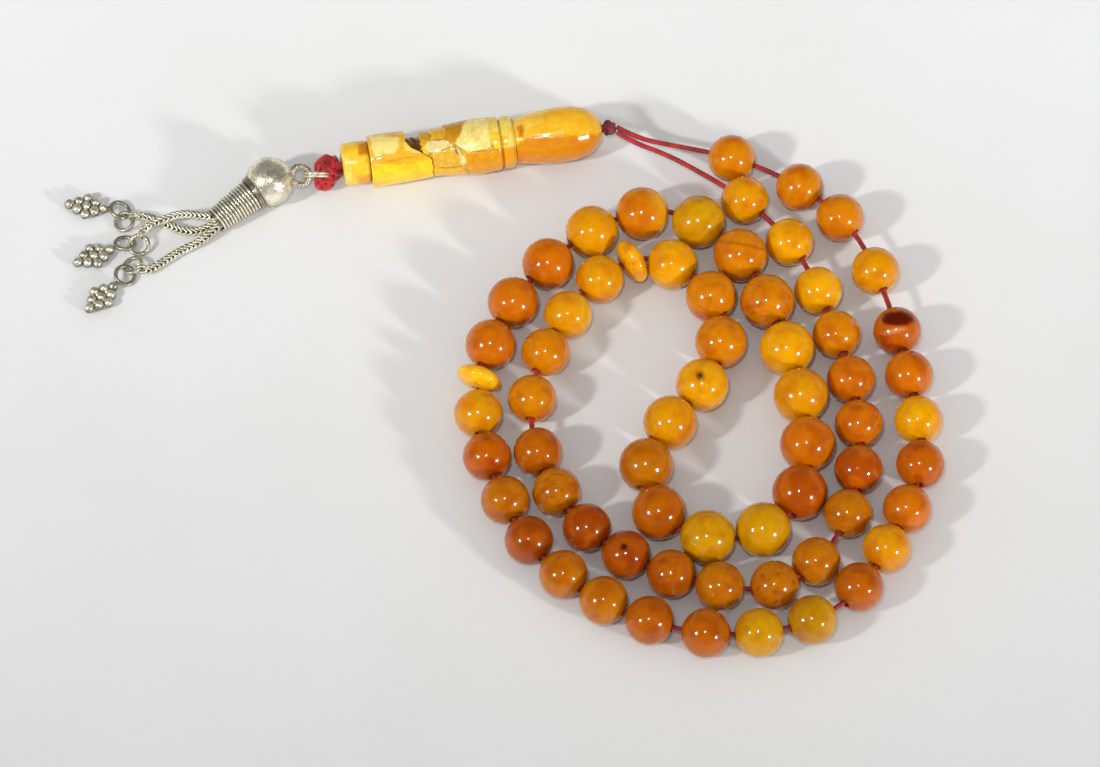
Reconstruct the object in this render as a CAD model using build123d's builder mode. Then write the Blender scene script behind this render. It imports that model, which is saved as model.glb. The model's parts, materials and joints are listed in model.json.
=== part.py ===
"""Misbaha: a strand of amber prayer beads, a carved leader bead and a silver tassel.

The strand lies on a table in a double loop.  Everything is in millimetres, +Z is up,
the table is at Z = 0 and the origin is at the middle of the object's outline.
"""
import os
from math import cos, pi, radians, sin, tan

from build123d import *

os.makedirs("parts", exist_ok=True)

# ---- Driving dimensions -------------------------------------------------------------
small_bead = 10.9  # diameter of a bead near either end of the strand
bead_growth = 1.5  # how much larger the beads in the middle of the strand are
growth_power = 0.6  # how quickly they grow from the first of them
last_bead = 62
first_middle, last_middle = 22, 42  # the larger beads, between the two separators
last_inner = 52  # beads 43 to 52 are the ones that lie packed inside the loop
cord_radius = 0.6
bore_radius = 1.1
middle_bore_radius = 1.42  # the larger beads have wider holes
mouth_flare = 0.35  # extra radius of a hole at its mouth
mouth_depth = 0.8
bead_clearance = 0.15  # between beads that touch
disc_diameter = 10.5
disc_thickness = 4.6
disc_bore_radius = 1.35

# ---- The cord's route: from the head knot, round the double loop and back -----------
strand_route = [
    (26.7, 65.6, 6.1), (31.2, 62.9, 5.5), (40, 61, 5.2), (50, 58.7, 5.4), (61, 54.5, 5.5),
    (73.5, 46.5, 5.5), (82, 36, 5.5), (87.5, 20.5, 5.5), (91.5, 3.5, 5.5), (94.2, -14, 5.5),
    (94, -26, 5.5), (89, -38, 5.5), (83, -49.5, 5.5), (74.5, -60, 5.5), (61, -65.2, 5.5),
    (45, -66, 5.5), (29, -61, 5.5), (15, -52, 5.5), (5.5, -41.5, 5.5), (0, -29, 5.5),
    (-4.5, -16, 5.5), (-5.2, -2, 5.5), (-2, 9, 5.7), (3, 20, 5.9), (13, 32, 6.0),
    (26, 41.5, 6.1), (38.5, 43.8, 6.2), (51.5, 37, 6.2), (59, 23, 6.2), (64.5, 8, 6.2),
    (68.5, -9, 6.2), (69.1, -24, 6.2), (65, -36.6, 6.2), (53.6, -42.8, 6.2), (40, -41.3, 6.2),
    (31.5, -31.2, 6.2), (33.1, -17.9, 6.2), (42, -8, 6.1), (49, 2.5, 6.0), (51, 15, 5.9),
    (45, 26, 5.8), (34.5, 32, 5.7), (23, 27, 5.5), (14, 14.5, 5.5), (7.5, 0, 5.5),
    (6.7, -13.5, 5.5), (10.5, -26.5, 5.5), (18.5, -39, 5.5), (31, -48, 5.5), (46, -53.5, 5.5),
    (60, -55, 5.5), (71.5, -47.5, 5.5), (79, -33, 5.5), (81, -16, 5.5), (79, 0, 5.5),
    (74, 17.5, 5.5), (67, 34.5, 5.5), (56, 46.5, 5.5), (45.5, 54, 5.3), (37.8, 58.9, 5.1),
    (30.9, 61.5, 5.5), (26.7, 64.1, 6.1),
]
first_bead_distance = 27.6  # along the cord, from the head knot to the first bead

# Bare cord after a bead, where there is more than bead_clearance of it.
bare_cord = {
    1: 6.4, 2: 1.2, 3: 5.2, 4: 5.5, 5: 0.8, 6: 0.9, 7: 0.5, 8: 0.8, 9: 0.2, 10: 0.7,
    11: 2.4, 12: 1.3, 13: 0.8, 14: 1.8, 15: 0.3, 17: 0.6, 18: 0.6, 19: 0.9, 20: 0.3,
    21: 1.3, 22: 0.6, 23: 1.1, 24: 1.2, 25: 0.5, 26: 0.9, 27: 0.7, 28: 1.3, 29: 0.7,
    40: 0.5, 41: 0.7, 42: 1.2, 43: 0.9, 45: 1.5, 46: 2.8, 48: 0.4, 51: 0.2, 52: 1.2,
    54: 3.2, 55: 0.6, 56: 0.8, 57: 0.7, 58: 1.2, 59: 1.2, 60: 3.4, 61: 4.1,
}
bare_cord_after_disc = {1: 1.1, 2: 0.9}
disc_turn = {1: -12, 2: 13}  # how far each disc leans from square to the cord
disc_pitch = {1: 12, 2: 0}

# ---- Leader bead (imame), along its own axis from the foot ---------------------------
leader_foot = Vector(-36.3, 55.3, 6.15)
leader_tip = Vector(23.0, 64.8, 6.5)
leader_bore_radius = 1.45
foot_length, foot_radius, foot_rounding = 6.3, 4.95, 1.1
sleeve_radius, sleeve_end_radius = 6.0, 5.55
sleeve_top_end, sleeve_bottom_end = 14.8, 20.5  # the sleeve is broken off slanting
barrel_top_start = 17.9  # so a chip is missing between the sleeve and the barrel
spigot_start, spigot_radius = 12.0, 4.2
spigot_clearance = 0.05
barrel_radii = [(17.0, 5.45), (23.6, 5.55), (30.0, 6.25), (36.4, 6.1)]
ring_start, ring_end, ring_radius, groove_radius = 36.4, 39.8, 6.0, 5.2
ring_land = (37.1, 39.1)
bulb_radii = [(39.8, 5.2), (44.0, 5.9), (51.0, 6.4), (56.8, 5.3), (59.5, 3.0)]
seam = 0.02  # between leader pieces that are glued together

# ---- Knots, ring and silver tassel ---------------------------------------------------
head_knot_radius, head_knot_gap = 1.6, 0.2
tail_knot_centre, tail_knot_radius = Vector(-39.8, 54.7, 5.0), 3.05
jump_ring_centre, jump_ring_normal = Vector(-42.3, 53.6, 4.6), Vector(0, 0.866, 0.5)
jump_ring_radius, jump_ring_wire, jump_ring_tunnel = 2.95, 0.42, 0.55
eye_radius, eye_band, eye_offset = 2.05, 0.7, 0.6
ball_centre, ball_radius, ball_wall = Vector(-52.8, 51.2, 5.62), 5.6, 0.45
ferrule_mouth = Vector(-65.25, 42.1, 3.15)
collar_start, collar_end, collar_radius, collar_bore = 3.9, 5.0, 4.05, 3.1
winding_turns, winding_wire = 13, 0.4
winding_first_radius, winding_last_radius = 3.45, 2.6
ferrule_wall = 0.45
pin_radius, pin_plate_radius, pin_plate = 0.6, 1.65, 0.8
pin_length, pin_recess = 14.0, 1.2

# ---- Chains, end rings and charms ----------------------------------------------------
chain_radius = 1.0
chain_routes = {
    "a": [(-67.6, 42.9, 4.1), (-72.5, 43.9, 3.7), (-77.2, 42.3, 3.4), (-81.3, 41, 2.1)],
    "b": [(-66.3, 41.6, 1.5), (-69.6, 40.4, 1.05), (-73, 40.9, 1.05), (-77.5, 43.2, 1.05),
          (-81.9, 44.9, 1.15)],
    "c": [(-65.2, 39.9, 2.7), (-68.7, 37.5, 1.2), (-73, 35.4, 1.05), (-77, 32.3, 1.05),
          (-80.5, 29.8, 1.2)],
}
link_radius, link_wire = 0.85, 0.25  # the loop at a chain's end
ring_radius_end, ring_wire = 2.2, 0.42  # end rings and charm loops
ring_tilt = 21  # degrees that an end ring and a charm loop tip, opposite ways
ring_height = 1.3
ring_centres = {"a": (-82.4, 36.9), "b": (-85.9, 43.1), "c": (-83.7, 31.4)}
loop_centres = {"a": (-85.6, 37.3), "b": (-87.0, 46.2), "c": (-85.3, 28.8)}
charm_directions = {"a": (-0.9, -0.43), "b": (-0.99, 0.13), "c": (-0.67, -0.74)}
granule_radius, granule_pitch = 1.13, 2.28
charm_plate = 0.5  # the granules are soldered together by thin rims round their middles
charm_tab, charm_gap = 0.9, 0.05  # a tab joins the first granule to the loop
granule_rows = (1, 2, 3, 2, 1)


def unit(vector):
    return vector * (1 / vector.length)


def save(part, name):
    part.label = name
    export_step(part, f"parts/{name}.step")


def route_radii(points):
    """The largest arc that each corner of a cord's route has room for."""
    places = [Vector(*p) for p in points]
    radii = []
    for before, corner, after in zip(places, places[1:], places[2:]):
        shorter_run = min((corner - before).length, (after - corner).length)
        turn = (corner - before).get_angle(after - corner)
        radii.append(0.45 * shorter_run / tan(radians(turn) / 2))
    return radii


def tube(points, radius):
    """A round cord or chain along straight runs joined by tangent arcs."""
    with BuildPart() as solid:
        with BuildLine() as path:
            FilletPolyline(*points, radius=route_radii(points))
        with BuildSketch(Plane(origin=path.line @ 0, z_dir=path.line % 0)):
            Circle(radius)
        sweep()
    return solid.part, path.wires()[0]


def torus(centre, normal, radius, wire):
    with BuildPart() as ring:
        with Locations(Plane(origin=centre, z_dir=normal)):
            Torus(radius, wire)
    return ring.part


# ---- Strand cord ---------------------------------------------------------------------
strand_cord, strand_line = tube(strand_route, cord_radius)
save(strand_cord, "strand_cord")
print("cord radii", [round(r) for r in route_radii(strand_route)])
print("cord length", round(strand_line.length, 1))
print("cord volume", round(strand_cord.volume, 1),
      "section times length", round(pi * cord_radius**2 * strand_line.length, 1))


def cord_point(distance):
    return strand_line.position_at(distance, PositionMode.LENGTH)


def bead_diameter(number):
    """Small beads at both ends of the strand, growing towards its middle."""
    if not first_middle <= number <= last_middle:
        return small_bead
    share = (number - first_middle + 1) / (last_middle - first_middle + 2)
    return small_bead + bead_growth * sin(pi * share) ** growth_power


def strand_order():
    """Every bead and disc in turn, as (name, width along the cord, bare cord after)."""
    order = []
    for number in range(1, last_bead + 1):
        order.append((number, bead_diameter(number), bare_cord.get(number, bead_clearance)))
        for disc, last in ((1, first_middle - 1), (2, last_middle)):
            if number == last:
                order.append((f"disc_{disc}", disc_thickness, bare_cord_after_disc[disc]))
    return order


def thread(distance, width):
    """Where a bead's hole lies on the cord, and the hole's direction."""
    before, middle, after = [cord_point(distance + s * 0.4 * width) for s in (-1, 0, 1)]
    return (before + middle * 2 + after) * 0.25, unit(after - before)


def place_beads():
    """Threads the beads along the cord, each one clear of the one before."""
    places = {}
    distance = first_bead_distance
    last_width, last_bare = None, None
    for name, width, bare in strand_order():
        if last_width is not None:
            spacing = (last_width + width) / 2 + last_bare
            distance += spacing
            for _ in range(6):
                distance += spacing - (thread(distance, width)[0] - hole).length
        hole, axis = thread(distance, width)
        places[name] = (hole, axis, width)
        last_width, last_bare = width, bare
    return places


def drill(part, hole, axis, radius, half_length):
    """Cuts a bead's hole, with a flared mouth at each end."""
    with BuildPart() as drilled:
        add(part)
        with BuildSketch(Plane(origin=hole, z_dir=axis)):
            Circle(radius)
        extrude(amount=half_length + mouth_depth, both=True, mode=Mode.SUBTRACT)
        for side in (1, -1):
            mouth = hole + axis * (side * (half_length - mouth_depth))
            with BuildSketch(Plane(origin=mouth, z_dir=axis * side)):
                Circle(radius)
            with BuildSketch(Plane(origin=mouth + axis * (side * mouth_depth), z_dir=axis * side)):
                Circle(radius + mouth_flare)
            loft(mode=Mode.SUBTRACT)
    return drilled.part


def round_bead(number):
    """A ball resting on the table, drilled along the cord."""
    hole, axis, width = bead_places[number]
    radius = width / 2
    middle = first_middle <= number <= last_middle
    hole_radius = middle_bore_radius if middle else bore_radius
    with BuildPart() as ball:
        with Locations((hole.X, hole.Y, radius)):
            Sphere(radius)
    return drill(ball.part, hole, axis, hole_radius, radius)


def disc_axis(number):
    """The direction of a separator's hole: it leans a little on the cord."""
    axis = bead_places[f"disc_{number}"][1]
    turned = axis.rotate(Axis.Z, disc_turn[number])
    pitch = radians(disc_pitch[number])
    return unit(turned * cos(pitch) + Vector(0, 0, 1) * sin(pitch))


def separator_disc(number):
    """A flat, lens-shaped bead standing on its rim."""
    hole = bead_places[f"disc_{number}"][0]
    axis = disc_axis(number)
    with BuildPart() as lens:
        with BuildSketch(Plane(origin=hole, x_dir=axis.cross(Vector(0, 0, 1)), z_dir=axis.cross(
                axis.cross(Vector(0, 0, 1))))):
            Ellipse(disc_diameter / 2, disc_thickness / 2)
            with Locations((-disc_diameter / 2, 0)):
                Rectangle(disc_diameter, disc_thickness * 2, mode=Mode.SUBTRACT)
        revolve(axis=Axis(hole, axis))
    return drill(lens.part, hole, axis, disc_bore_radius, disc_thickness / 2)


def bead_group(numbers):
    with BuildPart() as group:
        for number in numbers:
            add(round_bead(number))
    return group.part


# ---- Beads and separators ------------------------------------------------------------
bead_places = place_beads()
single_beads = [*range(1, first_middle), *range(last_inner + 1, last_bead + 1)]
for bead_number in single_beads:
    save(round_bead(bead_number), f"bead_{bead_number:02d}")
save(bead_group(range(first_middle, last_middle + 1)), "middle_beads")
save(bead_group(range(last_middle + 1, last_inner + 1)), "inner_beads")
for disc_number in (1, 2):
    save(separator_disc(disc_number), f"disc_{disc_number}")

# ---- Leader bead ---------------------------------------------------------------------
leader_length = (leader_tip - leader_foot).length
leader_direction = unit(leader_tip - leader_foot)
leader_axis = Axis(leader_foot, leader_direction)
leader_side = unit(Vector(0, 0, 1).cross(leader_direction))
# Local X runs from the foot to the tip, local Y points up out of the table.
leader_plane = Plane(origin=leader_foot, x_dir=leader_direction, z_dir=leader_side * -1)

with BuildPart() as imame_foot:
    with BuildSketch(leader_plane):
        with Locations((foot_length / 2, (foot_radius + leader_bore_radius) / 2)):
            Rectangle(foot_length - seam, foot_radius - leader_bore_radius)
    revolve(axis=leader_axis)
    fillet(imame_foot.edges().group_by(leader_axis)[0].sort_by(SortBy.RADIUS)[-1], foot_rounding)
save(imame_foot.part, "imame_foot")

with BuildPart() as imame_sleeve:
    with BuildSketch(leader_plane):
        with BuildLine():
            Polyline(
                (foot_length, leader_bore_radius), (foot_length, sleeve_radius),
                (sleeve_bottom_end, sleeve_end_radius),
                (sleeve_bottom_end, spigot_radius + spigot_clearance),
                (spigot_start, spigot_radius + spigot_clearance),
                (spigot_start, leader_bore_radius), close=True,
            )
        make_face()
    revolve(axis=leader_axis)
    with BuildSketch(leader_plane):
        with BuildLine():
            Polyline(
                (sleeve_top_end, sleeve_radius + 1), (sleeve_bottom_end + 1, sleeve_radius + 1),
                (sleeve_bottom_end + 1, -sleeve_radius), (sleeve_bottom_end, -sleeve_radius),
                close=True,
            )
        make_face()
    extrude(amount=2 * sleeve_radius, both=True, mode=Mode.SUBTRACT)
save(imame_sleeve.part, "imame_sleeve")

with BuildPart() as imame_barrel:
    with BuildSketch(leader_plane):
        with BuildLine():
            outline = Spline(*barrel_radii)
            Polyline(outline @ 1, (ring_start - seam, leader_bore_radius),
                     (barrel_radii[0][0], leader_bore_radius), outline @ 0)
        make_face()
    revolve(axis=leader_axis)
    with BuildSketch(leader_plane):
        with BuildLine():
            Polyline(
                (barrel_top_start, sleeve_radius + 1), (spigot_start, sleeve_radius + 1),
                (spigot_start, -sleeve_radius - 1), (sleeve_bottom_end + seam, -sleeve_radius - 1),
                (sleeve_bottom_end + seam, -sleeve_radius), close=True,
            )
        make_face()
    extrude(amount=2 * sleeve_radius, both=True, mode=Mode.SUBTRACT)
    with BuildSketch(leader_plane):
        with BuildLine():
            Polyline(
                (spigot_start + seam, leader_bore_radius), (spigot_start + seam, spigot_radius),
                (barrel_radii[1][0], spigot_radius), (barrel_radii[1][0], leader_bore_radius),
                close=True,
            )
        make_face()
    revolve(axis=leader_axis)
save(imame_barrel.part, "imame_barrel")

with BuildPart() as imame_neck_ring:
    with BuildSketch(leader_plane):
        with BuildLine():
            Polyline(
                (ring_start, leader_bore_radius), (ring_start, groove_radius),
                (ring_land[0] - 0.3, groove_radius), (ring_land[0], ring_radius),
                (ring_land[1], ring_radius), (ring_land[1] + 0.3, groove_radius),
                (ring_end, groove_radius), (ring_end, leader_bore_radius), close=True,
            )
        make_face()
    revolve(axis=leader_axis)
save(imame_neck_ring.part, "imame_neck_ring")

with BuildPart() as imame_bulb:
    with BuildSketch(leader_plane):
        with BuildLine():
            outline = Spline(*bulb_radii, (leader_length, leader_bore_radius))
            Polyline(outline @ 1, (ring_end + seam, leader_bore_radius),
                     (ring_end + seam, bulb_radii[0][1]), outline @ 0)
        make_face()
    revolve(axis=leader_axis)
save(imame_bulb.part, "imame_bulb")

# ---- Leader cord and its two knots ---------------------------------------------------
head_knot_centre = leader_tip + leader_direction * (head_knot_radius + head_knot_gap)
with BuildPart() as head_knot:
    with Locations(head_knot_centre):
        Sphere(head_knot_radius)
save(head_knot.part, "head_knot")

with BuildPart() as tail_knot:
    with Locations(tail_knot_centre):
        Sphere(tail_knot_radius)
    with Locations(Plane(origin=jump_ring_centre, z_dir=jump_ring_normal)):
        Torus(jump_ring_radius, jump_ring_tunnel, mode=Mode.SUBTRACT)
save(tail_knot.part, "tail_knot")

leader_cord_start = leader_foot + leader_direction * -1.2
leader_cord_end = head_knot_centre - leader_direction * head_knot_radius * 0.8
with BuildPart() as leader_cord:
    for side in (1, -1):
        strand_start = leader_cord_start + Vector(0, 0, side * (cord_radius + 0.02))
        with BuildSketch(Plane(origin=strand_start, z_dir=leader_direction)):
            Circle(cord_radius)
    extrude(amount=(leader_cord_end - leader_cord_start).length)
save(leader_cord.part, "leader_cord")

# ---- Jump ring, eye and hollow ball --------------------------------------------------
save(torus(jump_ring_centre, jump_ring_normal, jump_ring_radius, jump_ring_wire), "jump_ring")

ring_crossing = jump_ring_centre - Vector(jump_ring_radius, 0, 0)
eye_direction = unit(ball_centre - ring_crossing)
wire_direction = unit(jump_ring_normal.cross(Vector(1, 0, 0)))
eye_normal = unit(wire_direction - eye_direction * wire_direction.dot(eye_direction))
eye_centre = ring_crossing + eye_direction * eye_offset
with BuildPart() as tassel_eye:
    with Locations(Plane(origin=eye_centre, z_dir=eye_normal)):
        Torus(eye_radius, eye_band)
    with Locations(ball_centre):
        Sphere(ball_radius, mode=Mode.SUBTRACT)
save(tassel_eye.part, "tassel_eye")

ferrule_direction = unit(ferrule_mouth - ball_centre)
ferrule_length = (ferrule_mouth - ball_centre).length
ferrule_plane = Plane(origin=ball_centre, z_dir=ferrule_direction)
with BuildPart() as silver_ball:
    with Locations(ball_centre):
        Sphere(ball_radius)
        Sphere(ball_radius - ball_wall, mode=Mode.SUBTRACT)
    with BuildSketch(ferrule_plane.offset(collar_start)):
        Circle(ball_radius)
    extrude(amount=ball_radius, mode=Mode.SUBTRACT)
save(silver_ball.part, "silver_ball")

# ---- Collar, wound ferrule and the pin inside them -----------------------------------
with BuildPart() as ball_collar:
    with BuildSketch(ferrule_plane.offset(collar_start + seam)):
        Circle(collar_radius)
    extrude(amount=collar_end - collar_start - seam, taper=8)
    with BuildSketch(ferrule_plane.offset(collar_start)):
        Circle(collar_bore)
    extrude(amount=collar_end, mode=Mode.SUBTRACT)
save(ball_collar.part, "ball_collar")

winding_pitch = (ferrule_length - collar_end) / winding_turns
core_radius = winding_first_radius - winding_wire - seam
core_end_radius = winding_last_radius - winding_wire - seam
with BuildPart() as ferrule_core:
    with BuildSketch(ferrule_plane.offset(collar_start - 0.5)):
        Circle(core_radius)
    with BuildSketch(ferrule_plane.offset(ferrule_length)):
        Circle(core_end_radius)
    loft()
    with BuildSketch(ferrule_plane.offset(collar_start - 0.6)):
        Circle(core_radius - ferrule_wall)
    with BuildSketch(ferrule_plane.offset(ferrule_length + 0.1)):
        Circle(core_end_radius - ferrule_wall)
    loft(mode=Mode.SUBTRACT)
save(ferrule_core.part, "ferrule_core")

with BuildPart() as ferrule_winding:
    for turn in range(winding_turns):
        share = turn / (winding_turns - 1)
        height = collar_end + (turn + 0.5) * winding_pitch
        turn_radius = winding_first_radius + share * (winding_last_radius - winding_first_radius)
        with Locations(ferrule_plane.offset(height)):
            Torus(turn_radius, winding_wire)
save(ferrule_winding.part, "ferrule_winding")

with BuildPart() as tassel_pin:
    with BuildSketch(ferrule_plane):
        Circle(pin_radius)
    extrude(amount=pin_length)
    with BuildSketch(ferrule_plane.offset(ferrule_length - pin_recess - pin_plate)):
        Circle(pin_plate_radius)
    extrude(amount=pin_plate)
save(tassel_pin.part, "tassel_pin")


# ---- Chains, end rings and charms ----------------------------------------------------
def end_ring_normals(name):
    """An end ring and its charm's loop tip opposite ways, so one passes through the other."""
    ring = Vector(*ring_centres[name])
    between = Vector(*loop_centres[name]) - ring
    to_chain = Vector(*chain_routes[name][-1][:2]) - ring
    up = Vector(0, 0, 1)
    tilt = ring_tilt if between.cross(up).dot(to_chain) < 0 else -ring_tilt  # chain side high
    tip = Axis((0, 0, 0), between)
    return up.rotate(tip, tilt), up.rotate(tip, -tilt)


def chain(name):
    """A chain's outer form, round at its upper end, with a loop at its lower end."""
    points = [Vector(*p) for p in chain_routes[name]]
    ring = Vector(*ring_centres[name], ring_height)
    ring_normal = end_ring_normals(name)[0]
    towards = points[-1] - ring
    outward = unit(towards - ring_normal * towards.dot(ring_normal))
    link_centre = ring + outward * ring_radius_end
    body, _ = tube(points, chain_radius)
    neck = points[-1] - link_centre
    with BuildPart() as solid:
        add(body)
        with Locations(points[0], points[-1]):
            Sphere(chain_radius)
        with BuildSketch(Plane(origin=link_centre + unit(neck) * link_radius, z_dir=neck)):
            Circle(link_wire * 1.2)
        extrude(amount=neck.length - link_radius)
        with Locations(Plane(origin=link_centre, z_dir=ring_normal.cross(outward))):
            Torus(link_radius, link_wire)
    return solid.part


def charm(name):
    """A loop and a lozenge of granules in rows, like a bunch of grapes."""
    loop = Vector(*loop_centres[name], ring_height)
    along = unit(Vector(*charm_directions[name]))
    row_pitch = granule_pitch * sin(pi / 3)
    half_length = row_pitch * (len(granule_rows) - 1) / 2
    first_row = ring_radius_end + ring_wire + granule_radius + charm_gap
    middle = loop + along * (first_row + half_length)
    with BuildPart() as solid:
        with Locations(Plane(origin=middle, x_dir=along, z_dir=(0, 0, 1))):
            with Locations([
                (row * row_pitch - half_length, (place - (count - 1) / 2) * granule_pitch)
                for row, count in enumerate(granule_rows) for place in range(count)
            ]):
                Cylinder(granule_radius + 0.03, charm_plate)
                Sphere(granule_radius)
            with Locations((-half_length - granule_radius, 0)):
                Box(charm_tab, charm_tab, charm_plate)
        with Locations(Plane(origin=loop, z_dir=end_ring_normals(name)[1])):
            Torus(ring_radius_end, ring_wire)
    return solid.part


for letter in chain_routes:
    save(chain(letter), f"chain_{letter}")
    ring_place = Vector(*ring_centres[letter], ring_height)
    end_ring = torus(ring_place, end_ring_normals(letter)[0], ring_radius_end, ring_wire)
    save(end_ring, f"end_ring_{letter}")
    save(charm(letter), f"charm_{letter}")
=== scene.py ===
"""Looks of a misbaha: amber beads on a red cord, a carved leader bead and a silver tassel.

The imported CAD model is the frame.  Lengths are in metres, and most are written as
millimetres times MM.
"""
import json
import math
import random

import bmesh
import bpy
import numpy as np
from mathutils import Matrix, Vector, noise


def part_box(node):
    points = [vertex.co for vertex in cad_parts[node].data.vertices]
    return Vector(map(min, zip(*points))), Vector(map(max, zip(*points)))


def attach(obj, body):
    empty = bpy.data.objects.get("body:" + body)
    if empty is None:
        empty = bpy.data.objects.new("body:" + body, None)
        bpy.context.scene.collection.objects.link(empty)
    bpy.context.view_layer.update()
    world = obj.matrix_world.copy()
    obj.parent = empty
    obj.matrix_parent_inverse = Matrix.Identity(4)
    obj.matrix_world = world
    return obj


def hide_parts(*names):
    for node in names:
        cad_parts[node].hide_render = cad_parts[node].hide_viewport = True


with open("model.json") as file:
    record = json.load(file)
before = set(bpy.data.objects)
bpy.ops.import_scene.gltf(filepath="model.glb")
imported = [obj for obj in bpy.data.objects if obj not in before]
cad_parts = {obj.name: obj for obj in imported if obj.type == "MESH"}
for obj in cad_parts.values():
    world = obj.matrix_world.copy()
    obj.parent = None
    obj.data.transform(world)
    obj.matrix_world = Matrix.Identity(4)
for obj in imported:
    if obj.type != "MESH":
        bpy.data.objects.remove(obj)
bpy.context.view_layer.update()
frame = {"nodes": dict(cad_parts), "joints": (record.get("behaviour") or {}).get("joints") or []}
MM = 0.001
scene = bpy.context.scene
joints = {j["name"]: j for j in frame["joints"]}


# ---- Camera ---------------------------------------------------------------------------
CAMERA_PLACE = Vector((11.3, -752.0, 1304.5)) * MM
CAMERA_ELEVATION = math.radians(60)
CAMERA_LENS = 218.7  # millimetres, on a 36 mm sensor

camera_data = bpy.data.cameras.new("camera")
camera_data.sensor_width = 36
camera_data.lens = CAMERA_LENS
camera_data.clip_start, camera_data.clip_end = 0.1, 20
camera = bpy.data.objects.new("camera", camera_data)
camera.location = CAMERA_PLACE
camera.rotation_euler = (math.pi / 2 - CAMERA_ELEVATION, 0, 0)
scene.collection.objects.link(camera)
scene.camera = camera
TO_CAMERA = Vector((0, -math.cos(CAMERA_ELEVATION), math.sin(CAMERA_ELEVATION)))
IMAGE_UP = Vector((0, math.sin(CAMERA_ELEVATION), math.cos(CAMERA_ELEVATION)))
IMAGE_RIGHT = Vector((1, 0, 0))


# ---- Mesh helpers ---------------------------------------------------------------------
def new_piece(name, verts, faces, tint=None, smooth=True):
    """A mesh object from arrays, with a colour for each vertex."""
    mesh = bpy.data.meshes.new(name)
    mesh.from_pydata([tuple(v) for v in verts], [], [tuple(f) for f in faces])
    mesh.update()
    if smooth:
        mesh.polygons.foreach_set("use_smooth", [True] * len(mesh.polygons))
    if tint is not None:
        layer = mesh.color_attributes.new("tint", "FLOAT_COLOR", "POINT")
        colours = np.ones((len(mesh.vertices), 4), np.float32)
        colours[:, :3] = tint
        layer.data.foreach_set("color", colours.ravel())
    obj = bpy.data.objects.new(name, mesh)
    scene.collection.objects.link(obj)
    return obj


def finish_piece(obj, body, material, slot, *nodes):
    """Gives a piece its material, its body and the CAD nodes that it stands for."""
    obj.data.materials.clear()
    obj.data.materials.append(material)
    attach(obj, body)
    if nodes:
        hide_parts(*nodes)


def grid(points, wrap_rows=False, wrap_columns=True):
    """Vertices and faces of a sheet of points, given as rows x columns x 3."""
    rows, columns = points.shape[:2]
    index = np.arange(rows * columns).reshape(rows, columns)
    down = np.vstack([index, index[:1]]) if wrap_rows else index
    grown = np.hstack([down, down[:, :1]]) if wrap_columns else down
    quads = np.stack([grown[:-1, :-1], grown[1:, :-1], grown[1:, 1:], grown[:-1, 1:]], -1)
    return points.reshape(-1, 3), quads.reshape(-1, 4)


def merged(parts):
    """One mesh's arrays from several, each (vertices, faces, colours)."""
    verts, faces, tints, count = [], [], [], 0
    for part_verts, part_faces, part_tint in parts:
        verts.append(part_verts)
        faces.append(part_faces + count)
        tints.append(np.broadcast_to(part_tint, (len(part_verts), 3)))
        count += len(part_verts)
    return np.vstack(verts), np.vstack(faces), np.vstack(tints)


def finish_merged(name, made, body, material, slot, *nodes):
    """One piece from the arrays of several meshes."""
    piece = new_piece(name, *merged(made))
    finish_piece(piece, body, material, slot, *nodes)


def unit_rows(vectors):
    return vectors / np.maximum(np.linalg.norm(vectors, axis=1, keepdims=True), 1e-12)


def frames_along(path, closed=False):
    """Tangent, normal and binormal at each point of a path, without sudden twists."""
    if closed:
        tangents = unit_rows(np.roll(path, -1, 0) - np.roll(path, 1, 0))
    else:
        tangents = unit_rows(np.gradient(path, axis=0))
    helper = np.array((0, 0, 1.0)) if abs(tangents[0][2]) < 0.9 else np.array((1.0, 0, 0))
    normals = np.zeros_like(path)
    normals[0] = helper - tangents[0] * (helper @ tangents[0])
    normals[0] /= np.linalg.norm(normals[0])
    for i in range(1, len(path)):
        n = normals[i - 1] - tangents[i] * (normals[i - 1] @ tangents[i])
        normals[i] = n / np.linalg.norm(n)
    return tangents, normals, np.cross(tangents, normals)


def tube(path, radius, sides=8, closed=False, lobes=0, depth=0.0, twist=None):
    """A tube along a path.  With lobes its section is that of twisted strands."""
    path = np.asarray(path, float)
    _, normals, binormals = frames_along(path, closed)
    angles = np.linspace(0, 2 * math.pi, sides, endpoint=False)
    turn = np.zeros(len(path)) if twist is None else twist
    radii = np.broadcast_to(radius, (len(path),))[:, None] * np.ones((1, sides))
    if lobes:
        bulge = np.abs(np.cos(lobes / 2 * (angles[None, :] - turn[:, None])))
        radii = radii * (1 - depth + depth * bulge)
    ring = (np.cos(angles)[None, :, None] * normals[:, None, :]
            + np.sin(angles)[None, :, None] * binormals[:, None, :])
    points = path[:, None, :] + ring * radii[:, :, None]
    verts, faces = grid(points, wrap_rows=closed)
    if not closed:
        first, last = len(verts), len(verts) + 1
        verts = np.vstack([verts, path[0], path[-1]])
        around = np.arange(sides)
        after = np.roll(around, -1)
        start = (len(path) - 1) * sides
        caps = [(a, b, first, first) for a, b in zip(around, after)]
        caps += [(start + b, start + a, last, last) for a, b in zip(around, after)]
        faces = np.vstack([faces, np.array(caps)])
    return verts, faces


def tidy_faces(faces):
    """Drops the doubled corner from the triangles that are stored as quads."""
    return [tuple(dict.fromkeys(int(i) for i in face)) for face in faces]


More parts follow.
